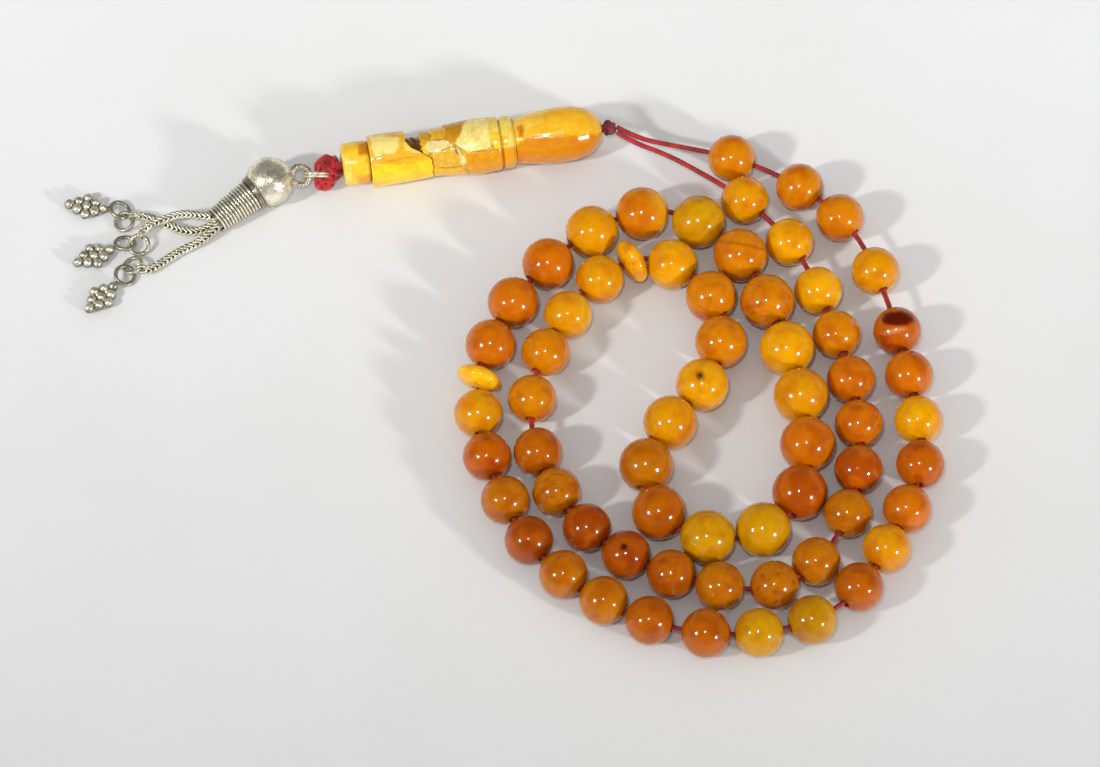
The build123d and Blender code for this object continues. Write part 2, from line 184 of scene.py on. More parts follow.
def smooth_line(name, points, order=3):
    """Points along the smooth line that a NURBS curve makes of a route."""
    curve = bpy.data.curves.new(name, "CURVE")
    curve.dimensions = "3D"
    curve.resolution_u = 24
    spline = curve.splines.new("NURBS")
    spline.points.add(len(points) - 1)
    for control, place in zip(spline.points, points):
        control.co = (*place, 1)
    spline.order_u = order
    spline.use_endpoint_u = True
    holder = bpy.data.objects.new(name, curve)
    mesh = bpy.data.meshes.new_from_object(holder)
    line = np.array([v.co for v in mesh.vertices], float)
    bpy.data.objects.remove(holder)
    return line


def even_steps(line, step):
    """The same line with points evenly spaced along it."""
    lengths = np.concatenate([[0], np.cumsum(np.linalg.norm(np.diff(line, axis=0), axis=1))])
    places = np.linspace(0, lengths[-1], max(4, int(lengths[-1] / step)))
    return np.stack([np.interp(places, lengths, line[:, k]) for k in range(3)], -1), places


def field(points, size, seed, octaves=2):
    """Smooth noise at points, in features of a given size."""
    offset = Vector((seed * 3.7, seed * 1.3, seed * 7.9))
    return np.array([noise.fractal(Vector(p) / size + offset, 1.0, 2.0, octaves) for p in points])


def step_up(value, low, high):
    """0 below low, 1 above high and smooth between."""
    t = np.clip((value - low) / (high - low), 0, 1)
    return t * t * (3 - 2 * t)


def blend(first, second, share):
    """The first value where share is 0, the second where it is 1."""
    return first * (1 - share) + second * share


def srgb(red, green, blue):
    """A linear colour from the 0 to 255 values of a paint chart."""
    parts = []
    for c in (red, green, blue):
        c /= 255
        parts.append(c / 12.92 if c <= 0.04045 else ((c + 0.055) / 1.055) ** 2.4)
    return np.array(parts)


# ---- Strand cord ----------------------------------------------------------------------
CORD_ROUTE = [
    (26.7, 65.6, 6.1), (31.2, 62.9, 5.5), (40, 61, 5.2), (50, 58.7, 5.4), (61, 54.5, 5.5),
    (73.5, 46.5, 5.5), (82, 36, 5.5), (87.5, 20.5, 5.5), (91.5, 3.5, 5.5), (94.2, -14, 5.5),
    (94, -26, 5.5), (89, -38, 5.5), (83, -49.5, 5.5), (74.5, -60, 5.5), (61, -65.2, 5.5),
    (45, -66, 5.5), (29, -61, 5.5), (15, -52, 5.5), (5.5, -41.5, 5.5), (0, -29, 5.5),
    (-4.5, -16, 5.5), (-5.2, -2, 5.5), (-2, 9, 5.7), (3, 20, 5.9), (13, 32, 6.0),
    (26, 41.5, 6.1), (38.5, 43.8, 6.2), (51.5, 37, 6.2), (59, 23, 6.2), (64.5, 8, 6.2),
    (68.5, -9, 6.2), (69.1, -24, 6.2), (65, -36.6, 6.2), (53.6, -42.8, 6.2), (40, -41.3, 6.2),
    (31.5, -31.2, 6.2), (33.1, -17.9, 6.2), (42, -8, 6.1), (49, 2.5, 6.0), (51, 15, 5.9),
    (45, 26, 5.8), (34.5, 32, 5.7), (23, 27, 5.5), (14, 14.5, 5.5), (7.5, 0, 5.5),
    (6.7, -13.5, 5.5), (10.5, -26.5, 5.5), (18.5, -39, 5.5), (31, -48, 5.5), (46, -53.5, 5.5),
    (60, -55, 5.5), (71.5, -47.5, 5.5), (79, -33, 5.5), (81, -16, 5.5), (79, 0, 5.5),
    (74, 17.5, 5.5), (67, 34.5, 5.5), (56, 46.5, 5.5), (45.5, 54, 5.3), (37.8, 58.9, 5.1),
    (30.9, 61.5, 5.5), (26.7, 64.1, 6.1),
]
CORD_DIAMETER = 1.2 * MM
CORD_LAY = 2.6 * MM  # one turn of its strands
cord_points = [tuple(c * MM for c in point) for point in CORD_ROUTE]
cord_line, cord_distance = even_steps(smooth_line("cord_line", cord_points), 0.35 * MM)
cord_tangents = frames_along(cord_line)[0]
DARK_RED, BRIGHT_RED = srgb(128, 14, 24), srgb(190, 22, 26)


def cord_tint(points, base, seed=1.0):
    """A waxed cord's colour: it is darker in patches where the wax has picked up dirt."""
    share = step_up(field(points, 2.2 * MM, seed), -0.5, 0.6)[:, None]
    return base * (0.65 + 0.5 * share)


def make_strand_cord(material):
    verts, faces = tube(cord_line, CORD_DIAMETER / 2 * 1.04, sides=12, lobes=3, depth=0.2,
                        twist=cord_distance / CORD_LAY * 2 * math.pi)
    piece = new_piece("strand_cord_twisted", verts, tidy_faces(faces),
                      cord_tint(verts, srgb(176, 24, 26)))
    finish_piece(piece, "strand", material, "cord_red", "strand_cord")


# ---- Materials ------------------------------------------------------------------------
def shader(name):
    """A new material, its node tree and its main shader."""
    material = bpy.data.materials.new(name)
    material.use_nodes = True
    tree = material.node_tree
    tree.nodes.clear()
    output = tree.nodes.new("ShaderNodeOutputMaterial")
    main = tree.nodes.new("ShaderNodeBsdfPrincipled")
    tree.links.new(main.outputs["BSDF"], output.inputs["Surface"])
    return material, tree, main


def set_inputs(node, **values):
    """Sets a node's inputs by name, written with _ for each space."""
    for name, value in values.items():
        node.inputs[name.replace("_", " ")].default_value = value


def noise_node(tree, size, detail=3.0, distortion=0.0, roughness=0.5, offset=0.0):
    """Noise in the object's own coordinates, in features of a given size."""
    place = tree.nodes.new("ShaderNodeTexCoord")
    mapping = tree.nodes.new("ShaderNodeMapping")
    mapping.inputs["Location"].default_value = (offset, offset * 0.7, offset * 1.9)
    node = tree.nodes.new("ShaderNodeTexNoise")
    set_inputs(node, Scale=1 / size, Detail=detail, Roughness=roughness, Distortion=distortion)
    tree.links.new(place.outputs["Object"], mapping.inputs["Vector"])
    tree.links.new(mapping.outputs["Vector"], node.inputs["Vector"])
    return node


def ramp(tree, source, stops):
    """A colour ramp from (position, grey or colour) stops."""
    node = tree.nodes.new("ShaderNodeValToRGB")
    elements = node.color_ramp.elements
    while len(elements) < len(stops):
        elements.new(0.5)
    for element, (position, value) in zip(elements, stops):
        colour = (value, value, value) if isinstance(value, (int, float)) else tuple(value)
        element.position = position
        element.color = (*colour, 1)
    tree.links.new(source, node.inputs["Fac"])
    return node


def multiplied(tree, first, second, share=1.0):
    node = tree.nodes.new("ShaderNodeMix")
    node.data_type = "RGBA"
    node.blend_type = "MULTIPLY"
    node.inputs["Factor"].default_value = share
    tree.links.new(first, node.inputs["A"])
    tree.links.new(second, node.inputs["B"])
    return node.outputs["Result"]


def tint_node(tree):
    node = tree.nodes.new("ShaderNodeAttribute")
    node.attribute_name = "tint"
    return node.outputs["Color"]


def bumped(tree, main, height, distance, strength=1.0):
    node = tree.nodes.new("ShaderNodeBump")
    set_inputs(node, Distance=distance, Strength=strength)
    tree.links.new(height, node.inputs["Height"])
    tree.links.new(node.outputs["Normal"], main.inputs["Normal"])


def amber(name, mottle=0.09, roughness=(0.1, 0.2), glow=0.28):
    """Polished amber: colour from the mesh, cloudy inside, with fine swirls and wear."""
    material, tree, main = shader(name)
    clouds = noise_node(tree, 3.2 * MM, detail=4, distortion=1.6)
    cloud_ramp = ramp(tree, clouds.outputs["Fac"], [
        (0.28, (1 - 0.5 * mottle, 1 - 1.5 * mottle, 1 - 2.0 * mottle)),
        (0.52, 1.0),
        (0.78, (1 + 0.25 * mottle, 1 + 0.75 * mottle, 1.0))])
    swirls = noise_node(tree, 0.9 * MM, detail=5, distortion=3.0, offset=3.1)
    swirl_ramp = ramp(tree, swirls.outputs["Fac"], [(0.3, (0.93, 0.88, 0.85)), (0.6, 1.0)])
    clouded = multiplied(tree, tint_node(tree), cloud_ramp.outputs["Color"])
    base = multiplied(tree, clouded, swirl_ramp.outputs["Color"], 0.7)
    tree.links.new(base, main.inputs["Base Color"])
    wear = noise_node(tree, 1.4 * MM, detail=6, roughness=0.65, offset=7.0)
    wear_ramp = ramp(tree, wear.outputs["Fac"], [(0.35, roughness[0]), (0.75, roughness[1])])
    tree.links.new(wear_ramp.outputs["Color"], main.inputs["Roughness"])
    pits = noise_node(tree, 0.35 * MM, detail=3, offset=11.0)
    bumped(tree, main, pits.outputs["Fac"], 0.012 * MM, 0.6)
    set_inputs(main, IOR=1.5, Subsurface_Weight=glow, Subsurface_Radius=(1.0, 0.32, 0.06),
               Subsurface_Scale=2.4 * MM, Coat_Weight=0.12, Coat_Roughness=0.06)
    return material


def waxed_cord(name, tinted=True):
    """Waxed thread: fine fibres across it, a low sheen and no gloss."""
    material, tree, main = shader(name)
    fibres = noise_node(tree, 0.18 * MM, detail=4, distortion=0.6)
    if tinted:
        fibre_ramp = ramp(tree, fibres.outputs["Fac"], [(0.3, 0.62), (0.7, 1.12)])
        colour = multiplied(tree, tint_node(tree), fibre_ramp.outputs["Color"])
    else:
        fibre_ramp = ramp(tree, fibres.outputs["Fac"], [(0.3, DARK_RED), (0.7, BRIGHT_RED)])
        colour = fibre_ramp.outputs["Color"]
    tree.links.new(colour, main.inputs["Base Color"])
    bumped(tree, main, fibres.outputs["Fac"], 0.06 * MM, 0.7)
    set_inputs(main, Roughness=0.55, Sheen_Weight=0.25, Sheen_Roughness=0.5,
               Specular_IOR_Level=0.4)
    return material


def silver(name, roughness=(0.26, 0.46), pits=0.5, tinted=True):
    """Old silver: warm grey, worn unevenly, with tarnish in blotches and fine pits."""
    material, tree, main = shader(name)
    tarnish = noise_node(tree, 1.5 * MM, detail=5, roughness=0.6)
    tarnish_ramp = ramp(tree, tarnish.outputs["Fac"], [
        (0.3, (0.58, 0.53, 0.43)), (0.5, (0.9, 0.88, 0.8)), (0.7, (1.0, 0.99, 0.96))])
    colour = tarnish_ramp.outputs["Color"]
    if tinted:
        colour = multiplied(tree, tint_node(tree), colour)
    else:
        # Painted shade: silver that sits in recesses is darkened all over with this.
        deeper = noise_node(tree, 0.8 * MM, detail=4, offset=13.0)
        dark_ramp = ramp(tree, deeper.outputs["Fac"], [(0.3, (0.2, 0.18, 0.13)),
                                                       (0.8, (0.5, 0.48, 0.4))])
        colour = multiplied(tree, dark_ramp.outputs["Color"], colour)
    tree.links.new(colour, main.inputs["Base Color"])
    wear = noise_node(tree, 0.6 * MM, detail=5, offset=5.0)
    wear_ramp = ramp(tree, wear.outputs["Fac"], [(0.35, roughness[0]), (0.7, roughness[1])])
    tree.links.new(wear_ramp.outputs["Color"], main.inputs["Roughness"])
    spots = noise_node(tree, 0.3 * MM, detail=4, offset=9.0)
    spot_ramp = ramp(tree, spots.outputs["Fac"], [(0.34, 0.0), (0.46, 1.0)])
    bumped(tree, main, spot_ramp.outputs["Color"], 0.03 * MM, pits)
    set_inputs(main, Metallic=0.74)
    return material


AMBER = amber("amber_polished")
AMBER_CARVED = amber("amber_carved", mottle=0.12, roughness=(0.14, 0.32), glow=0.3)
CORD = waxed_cord("cord_waxed")
SILVER = silver("silver_worn")
SILVER_BALL = silver("silver_ball_worn", roughness=(0.22, 0.4), pits=0.45)
SILVER_IN_PAINTED_SHADE = silver("silver_painted_shade", tinted=False)
make_strand_cord(CORD)

# ---- Beads ----------------------------------------------------------------------------
TONES = {  # the main colour of each kind of amber, and the colour it is clouded with
    "red": (srgb(170, 74, 0), srgb(192, 96, 0)),
    "rust": (srgb(188, 92, 0), srgb(166, 70, 0)),
    "orange": (srgb(202, 108, 0), srgb(184, 90, 0)),
    "honey": (srgb(208, 126, 0), srgb(194, 104, 0)),
    "gold": (srgb(217, 146, 0), srgb(208, 124, 0)),
    "yellow": (srgb(228, 160, 0), srgb(216, 140, 0)),
    "ochre": (srgb(204, 148, 0), srgb(192, 128, 0)),
}
BEADS_BY_TONE = {
    "red": (18, 33, 49, 56),
    "rust": (5, 8, 20, 50),
    "orange": (6, 9, 11, 14, 15, 22, 23, 24, 32, 36, 47, 51, 57, 58),
    "gold": (4, 10, 21, 25, 31, 38, 43, 44, 62),
    "yellow": (7, 30, 39, 42, 60, 61),
    "ochre": (12, 13, 27, 34, 35),
}
# Beads near the lower left are darkened: painted shade where the lamps' light falls off.
BEADS_IN_PAINTED_SHADE = (11, 12, 14, 15, 16, 17, 18, 19, 36, 37, 47, 48, 49, 50, 51, 52, 53, 54, 55)
PAINTED_SHADE_TINT = np.array((0.8, 0.76, 0.7))
tone_of = {number: tone for tone, numbers in BEADS_BY_TONE.items() for number in numbers}
HOLE_RADIUS, HOLE_ROUNDING = 1.0 * MM, 0.27 * MM
BEAD_WEAR = 0.004  # how much of its radius a bead is short of at most


def islands(node):
    """The places and radii of the separate balls in a CAD node, from its mesh."""
    mesh = frame["nodes"][node].data
    shape = bmesh.new()
    shape.from_mesh(mesh)
    bmesh.ops.remove_doubles(shape, verts=shape.verts, dist=0.001 * MM)
    shape.verts.ensure_lookup_table()
    seen, found = set(), []
    for vert in shape.verts:
        if vert.index in seen:
            continue
        stack, members = [vert], []
        seen.add(vert.index)
        while stack:
            here = stack.pop()
            members.append(here.co.copy())
            for edge in here.link_edges:
                other = edge.other_vert(here)
                if other.index not in seen:
                    seen.add(other.index)
                    stack.append(other)
        cloud = np.array(members)
        low, high = cloud.min(0), cloud.max(0)
        found.append(((low + high) / 2, (high[2] - low[2]) / 2))
    shape.free()
    return found


def nearest_on_cord(place):
    """Index of the point of the cord's line that is closest to a place."""
    return int(np.argmin(np.linalg.norm(cord_line - np.array(place), axis=1)))


def turned_profile(profile, axis, centre, segments):
    """Points of a shape turned on a lathe: (along, radius) rows about an axis."""
    across = Vector(axis).orthogonal().normalized()
    side = Vector(axis).cross(across)
    angles = np.linspace(0, 2 * math.pi, segments, endpoint=False)
    ring = np.cos(angles)[:, None] * np.array(across) + np.sin(angles)[:, None] * np.array(side)
    along, radius = np.array(profile).T
    return (np.array(centre) + along[:, None, None] * np.array(axis)
            + radius[:, None, None] * ring[None])


def bead_profile(radius, hole, rounding, steps):
    """A ball with a hole whose mouths are rounded: (along, radius) rows, closed."""
    lip = hole + rounding
    edge = math.asin(min(0.95, lip / radius))
    outer = [(radius * math.cos(t), radius * math.sin(t))
             for t in np.linspace(edge, math.pi - edge, steps)]
    mouth = radius * math.cos(edge)
    down = [(-mouth + rounding * (1 - math.cos(t)), hole + rounding * (1 - math.sin(t)))
            for t in np.linspace(0.35, math.pi / 2, 4)]
    up = [(-along, size) for along, size in reversed(down)]
    return outer + down + up


def bead_colours(verts, number, centre, radius):
    """Clouded colour for one bead, with the marks that single beads have."""
    base, clouded = TONES[tone_of.get(number, "honey")]
    local = (verts - centre) / radius
    size = 0.55 + 0.4 * random.random()
    mix = step_up(field(local, size, number * 1.7), -0.15, 0.5)[:, None]
    colour = blend(base, clouded, mix)
    up, right = local @ np.array(IMAGE_UP), local @ np.array(IMAGE_RIGHT)
    near = local @ np.array(TO_CAMERA)
    if number == 5:  # a dark brown window in its upper half
        ragged = 0.12 * field(local, 0.25, 9.0, 3)
        patch = step_up(0.76 - np.hypot((right + 0.02) / 1.1, (up - 0.5) / 0.5) + ragged, 0, 0.3)
        colour = blend(colour, srgb(92, 22, 4), patch[:, None])
        band = np.hypot((right + 0.15) / 1.4, (up - 0.02 - 0.2 * right) / 0.3)
        band = step_up(0.5 - band, 0, 0.3) * (near > 0)
        colour = blend(colour, srgb(214, 140, 90), 0.75 * band[:, None])
    if number == 28:  # a healed crack across it
        off = up - 0.38 + 0.2 * right + 0.06 * field(local, 0.5, 2.0)
        colour = blend(colour, srgb(160, 66, 8), np.exp(-(off / 0.05) ** 2)[:, None] * 0.75)
    if number in (48, 51, 53, 29):  # streaked
        streaks = field(local * np.array((1, 3.2, 1)), 0.7, number * 0.9 + 40, 3)
        colour = blend(colour, srgb(158, 66, 8), np.exp(-(streaks / 0.07) ** 2)[:, None] * 0.55)
    if number in (50, 39):  # a dark speck
        spot = step_up(0.2 - np.hypot(right + 0.1, up - 0.35), 0, 0.12) * (near > 0)
        colour = blend(colour, srgb(60, 26, 10), spot[:, None])
    if number in (12, 26, 60, 44):  # paler on one side
        pale = step_up(right + 0.3 * up, 0.1, 0.9)[:, None] * 0.6
        colour = blend(colour, srgb(236, 178, 26), pale)
    rim = step_up(np.abs(field(local, 0.28, number + 90.0, 3)), 0.25, 0.7)[:, None]
    colour = colour * (1 - 0.12 * rim)
    # Painted shade: these beads are darkened where the light falls off.
    if number in BEADS_IN_PAINTED_SHADE:
        colour = colour * PAINTED_SHADE_TINT
    return colour


def make_bead(number, centre, radius, body, slot, node):
    """A slightly uneven ball on the cord, in place of a CAD bead."""
    centre = np.array(centre)
    axis = Vector(cord_tangents[nearest_on_cord(centre)]).normalized()
    drop = Vector(cord_line[nearest_on_cord(centre)] - centre)  # from its middle to the cord
    drop -= axis * drop.dot(axis)
    profile = bead_profile(radius, HOLE_RADIUS, HOLE_ROUNDING, 30)
    points = turned_profile(profile, axis, (0, 0, 0), 44)
    verts, faces = grid(points, wrap_rows=True)
    reach = np.linalg.norm(verts, axis=1, keepdims=True)
    inner = np.clip(1 - (reach / radius - 0.2) / 0.8, 0, 1)
    across = verts - np.outer(verts @ np.array(axis), np.array(axis))
    near_hole = step_up(1 - np.linalg.norm(across, axis=1) / (radius * 0.55), 0, 1)[:, None]
    worn = step_up(field(verts / radius, 0.9, number + 0.5), -0.6, 0.8)[:, None]
    verts = verts * (1 - BEAD_WEAR * worn)
    verts = verts + np.array(drop) * near_hole * (0.35 + 0.65 * inner)
    verts = verts + centre
    piece = new_piece(f"bead_{number:02d}_amber", verts, faces,
                      bead_colours(verts, number, centre, radius))
    finish_piece(piece, body, AMBER, slot, node)


def make_beads():
    random.seed(62)
    places = {}
    for node in frame["nodes"]:
        if node.startswith("bead_"):
            low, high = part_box(node)
            middle, radius = (low + high) / 2, (high.z - low.z) / 2
            places[int(node[5:])] = (middle, radius, node, "amber_gold", node)
    for node, first, slot in (("middle_beads", 22, "amber_middle"),
                              ("inner_beads", 43, "amber_inner")):
        found = sorted(islands(node), key=lambda ball: nearest_on_cord(ball[0]))
        for k, (middle, radius) in enumerate(found):
            places[first + k] = (Vector(middle), radius, "strand", slot, node)
    for number in sorted(places):
        middle, radius, body, slot, node = places[number]
        make_bead(number, middle, radius, body, slot, node)


DISC_HALF, DISC_RADIUS, DISC_HOLE = 2.5 * MM, 5.2 * MM, 0.75 * MM
DISC_LIP = 0.19  # radians from the disc's axis to the edge of its hole


def make_disc(number, main_colour, streak_colour):
    """A lens-shaped separator with faint streaks along its hole."""
    node = f"disc_{number}"
    joint = joints[f"{node}_turn"]
    axis, centre = Vector(joint["axis"]).normalized(), Vector(joint["pos_m"])
    outer = [(DISC_HALF * math.cos(t), DISC_RADIUS * math.sin(t))
             for t in np.linspace(DISC_LIP, math.pi - DISC_LIP, 34)]
    inside = [(DISC_HALF * 0.9 * k, DISC_HOLE) for k in (-1, 0, 1)]
    verts, faces = grid(turned_profile(outer + inside, axis, centre, 64), wrap_rows=True)
    local = verts - np.array(centre)
    streaks = field(local / DISC_RADIUS, 0.35, number * 5.0, 3)
    share = step_up(streaks, -0.2, 0.5)[:, None]
    tint = blend(main_colour, streak_colour, share)
    piece = new_piece(f"{node}_amber", verts, faces, tint)
    finish_piece(piece, node, AMBER, "amber_yellow", node)


make_beads()
make_disc(1, srgb(250, 190, 20), srgb(240, 170, 10))
make_disc(2, srgb(232, 166, 10), srgb(212, 136, 4))

# ---- Leader bead ----------------------------------------------------------------------
leader_joint = joints["imame_turn"]
LEADER_FOOT = Vector(leader_joint["pos_m"])
LEADER_AXIS = Vector(leader_joint["axis"]).normalized()
LEADER_UP = (IMAGE_UP - LEADER_AXIS * IMAGE_UP.dot(LEADER_AXIS)).normalized()
LEADER_FRONT = LEADER_AXIS.cross(LEADER_UP)
LEADER_LENGTH = (Vector(joints["leader_swing"]["pos_m"]) - LEADER_FOOT).length / MM - 1.8
BORE = 1.3
CREAM, PALE, YELLOW = srgb(242, 224, 134), srgb(238, 210, 100), srgb(240, 198, 48)
GOLDEN, AMBER_GOLD, DEEP = srgb(236, 180, 36), srgb(224, 156, 18), srgb(206, 126, 14)
OLIVE, BROWN = srgb(196, 140, 22), srgb(104, 70, 26)

# Patches as outlines in (mm from the foot, mm up from the middle line), with a colour and
# how far the patch stands out.  Later patches lie over earlier ones.
FOOT_PATCHES = [
    ([(3.9, 4.4), (7.0, 4.4), (7.0, 1.3), (4.2, 1.6)], DEEP, 0.0),
    ([(3.1, -3.0), (6.6, -3.2), (6.6, -6), (3.4, -6)], AMBER_GOLD, 0.0),
    ([(0, 2.5), (1.6, 1.5), (1.8, -4), (0, -5)], PALE, 0.0),
]
SLEEVE_PATCHES = [
    ([(13.0, 6.5), (21, 6.5), (21, -0.8), (7.5, -0.6), (7.5, 1.0), (13.5, 1.0)], GOLDEN, 0.0),
    ([(6.9, 6.3), (10.8, 5.2), (13.3, 4.6), (13.4, 2.4), (12.2, 0.7), (9.8, 0.9),
      (7.4, 0.4)], CREAM, 0.02),
    ([(14.2, 3.6), (15.6, 3.2), (18.4, 0.4), (17.6, -0.3), (14.6, 0.8)], PALE, 0.0),
    ([(6.0, -1.0), (12.0, -1.5), (21, -1.9), (21, -7), (6, -7)], srgb(248, 208, 36), 0.05),
]
BARREL_PATCHES = [
    ([(16, 7), (24.2, 7), (23.9, 2.6), (16, 2.6)], GOLDEN, -0.25),
    ([(18.4, 4.9), (20.6, 4.8), (20.5, 2.8), (18.4, 3.0)], srgb(206, 160, 44), -0.1),
    ([(19.6, 2.7), (23.8, 2.5), (25.3, 0.9), (24.2, -0.8), (20.2, -0.6), (18.6, 1.0)],
     srgb(232, 212, 140), -0.12),
    ([(21.0, -0.2), (25.4, 0.6), (27.8, -4.0), (27.4, -6.6), (18, -6.6), (18, -1.6)],
     srgb(224, 176, 56), -0.1),
    ([(20.3, -3.6), (27.6, -4.4), (28, -7), (20, -7)], srgb(238, 182, 36), 0.0),
    ([(24.1, 7), (30.6, 7), (30.2, 5.4), (25.6, 1.0), (24.0, 2.4)], OLIVE, 0.12),
    ([(30.3, 7), (34.6, 7), (34.0, 2.9), (34.5, 0.2), (33.2, -1.2), (28.3, -1.3),
      (25.8, 1.0)], CREAM, 0.16),
    ([(34.5, 7), (38, 7), (38, 1.4), (34.0, 2.6)], PALE, 0.2),
    ([(34.2, 2.4), (38, 1.3), (38, -1.6), (34.7, -1.4), (34.6, 0.4)], YELLOW, 0.2),
    ([(28.3, -1.4), (33.2, -1.3), (38, -1.7), (38, -7), (28.6, -7), (27.6, -3.4)],
     AMBER_GOLD, 0.14),
    ([(25.6, 0.9), (26.3, 0.5), (27.9, -2.4), (27.6, -4.4), (26.6, -3.4), (26.5, -1.2)],
     srgb(250, 232, 160), -0.35),
]
RING_PATCHES = [
    ([(36, -1.2), (41, -1.6), (41, -7), (36, -7)], AMBER_GOLD, 0.0),
    ([(36, 1.2), (38.2, 1.0), (38.0, -0.6), (36, -0.4)], GOLDEN, 0.0),
]
BULB_PATCHES = [
    ([(43.0, 0.3), (50, -0.4), (61, -1.4), (61, -8), (39, -8), (39, -1.6)],
     srgb(208, 130, 10), 0.0),
    ([(39, 7.5), (48.5, 7.5), (46.8, 2.9), (42.4, 2.2), (39, 2.6)], srgb(244, 200, 72), 0.0),
    ([(40.9, 3.2), (42.0, 3.1), (41.9, 0.5), (40.8, 0.6)], srgb(196, 108, 18), -0.12),
]


def inside_outline(s, v, outline):
    """Which of the points lie in an outline, and each one's distance to its border."""
    inside = np.zeros(s.shape, bool)
    gap = np.full(s.shape, 1e9)
    for (s0, v0), (s1, v1) in zip(outline, outline[1:] + outline[:1]):
        crosses = (v0 > v) != (v1 > v)
        reach = s0 + (v - v0) / (v1 - v0 if v1 != v0 else 1e-9) * (s1 - s0)
        inside ^= crosses & (s < reach)
        share = np.clip(((s - s0) * (s1 - s0) + (v - v0) * (v1 - v0))
                        / ((s1 - s0) ** 2 + (v1 - v0) ** 2), 0, 1)
        gap = np.minimum(gap, np.hypot(s - s0 - share * (s1 - s0), v - v0 - share * (v1 - v0)))
    return inside, gap


def patched(s, v, points, patches, base, softness):
    """Colour and height of a mosaic of patches, with wandering borders and cracks."""
    shift_s = field(points, 2.4 * MM, 5.0, 3) * 0.45
    shift_v = field(points, 2.4 * MM, 15.0, 3) * 0.45
    colour = np.tile(base, (len(s), 1))
    height = np.zeros(len(s))
    border = np.full(len(s), 1e9)
    softness = softness + 0.3 * step_up(field(points, 3.5 * MM, 45.0), -0.2, 0.5)
    for outline, paint, lift in patches:
        within, gap = inside_outline(s + shift_s, v + shift_v, outline)
        depth = np.where(within, gap, -gap)
        share = step_up(depth, -softness, softness)[:, None]
        colour = blend(colour, paint, share)
        edge = step_up(depth, -0.12, 0.12)
        height = blend(height, lift, edge)
        border = np.where(within, gap, np.minimum(border, gap))
    crack = np.exp(-(border / 0.13) ** 2)
    strong = step_up(field(points, 3.0 * MM, 25.0), -0.35, 0.35)
    return colour, height - 0.1 * crack * strong, crack * strong


def leader_piece(name, node, start, end, radius, patches, base, rows, rim=(0.3, 0.3),
                 inner=BORE, columns=200, cracks=0.75, slot="amber_carved"):
    """One turned piece of the leader bead, from start(sine) to end(sine) along it."""
    angles = np.linspace(0, 2 * math.pi, columns, endpoint=False)
    sine = np.sin(angles)
    first, last = start(sine), end(sine)
    shares = (1 - np.cos(np.linspace(0, math.pi, rows))) / 2 * 0.12 + np.linspace(0, 1, rows) * 0.88
    s = first[None, :] + shares[:, None] * (last - first)[None, :]
    size = radius(s, sine[None, :])
    for edge, depth in zip((s - first[None, :], last[None, :] - s), rim):
        if depth:
            near = np.clip(1 - edge / depth, 0, 1)
            size = size - depth * (1 - np.sqrt(1 - near ** 2))
    ring = (np.cos(angles)[:, None] * np.array(LEADER_FRONT)
            + sine[:, None] * np.array(LEADER_UP))

    def place(along, out):
        return (np.array(LEADER_FOOT) + along[:, :, None] * np.array(LEADER_AXIS) * MM
                + out[:, :, None] * ring[None] * MM)

    outer = place(s, size).reshape(-1, 3)
    colour, height, crack = patched(s.ravel(), (size * sine[None, :]).ravel(), outer, patches, base,
                                    0.5 - 0.45 * cracks)
    colour = blend(colour, BROWN, (crack * cracks)[:, None])
    veins = step_up(field(outer, 3.5 * MM, 33.0, 4), -0.1, 0.6)[:, None]
    colour = blend(colour, AMBER_GOLD, 0.3 * veins)
    grain = step_up(np.abs(field(outer, 1.3 * MM, 51.0, 4)), 0.0, 0.35)[:, None]
    colour = blend(colour, BROWN, 0.22 * cracks * (1 - grain))
    size = size + height.reshape(size.shape)
    points = place(s, size)
    back = np.stack([last, (first + last) / 2, first])
    points = np.concatenate([points, place(back, np.full(back.shape, inner))])
    verts, faces = grid(points, wrap_rows=True)
    # The bore's faces are BROWN: painted shade in the bore and in the grooves between the pieces.
    tint = np.vstack([colour, np.tile(BROWN, (3 * columns, 1))])
    piece = new_piece(name, verts, faces, tint)
    finish_piece(piece, "imame", AMBER_CARVED, slot, node)


def along_profile(*knots):
    """A smooth radius along the leader bead through (mm from the foot, radius) knots."""
    places, sizes = np.array(knots).T
    fine = np.linspace(places[0], places[-1], 400)
    rough = np.interp(fine, places, sizes)
    kernel = np.ones(9) / 9
    soft = np.convolve(np.pad(rough, 4, mode="edge"), kernel, "valid")
    return lambda s, sine: np.interp(s, fine, soft)


def constant(value):
    return lambda sine: np.full(sine.shape, float(value))


def broken_edge(sine):
    """The sleeve's slanting broken end: further from the foot at the bottom."""
    return 15.0 + 5.4 * (1 - step_up(sine, -0.42, 0.58)) + 0.12 * np.sin(sine * 17)


def barrel_edge(sine):
    return np.maximum(broken_edge(sine) + 0.06, 18.3 + 0.15 * np.sin(sine * 23))


def raw_core(s, sine):
    """The rough radius of the amber that shows where the carved skin is missing."""
    return 4.1 + 0.25 * np.sin(s * 2.3 + sine * 5) * np.cos(s * 1.1 + sine * 9)


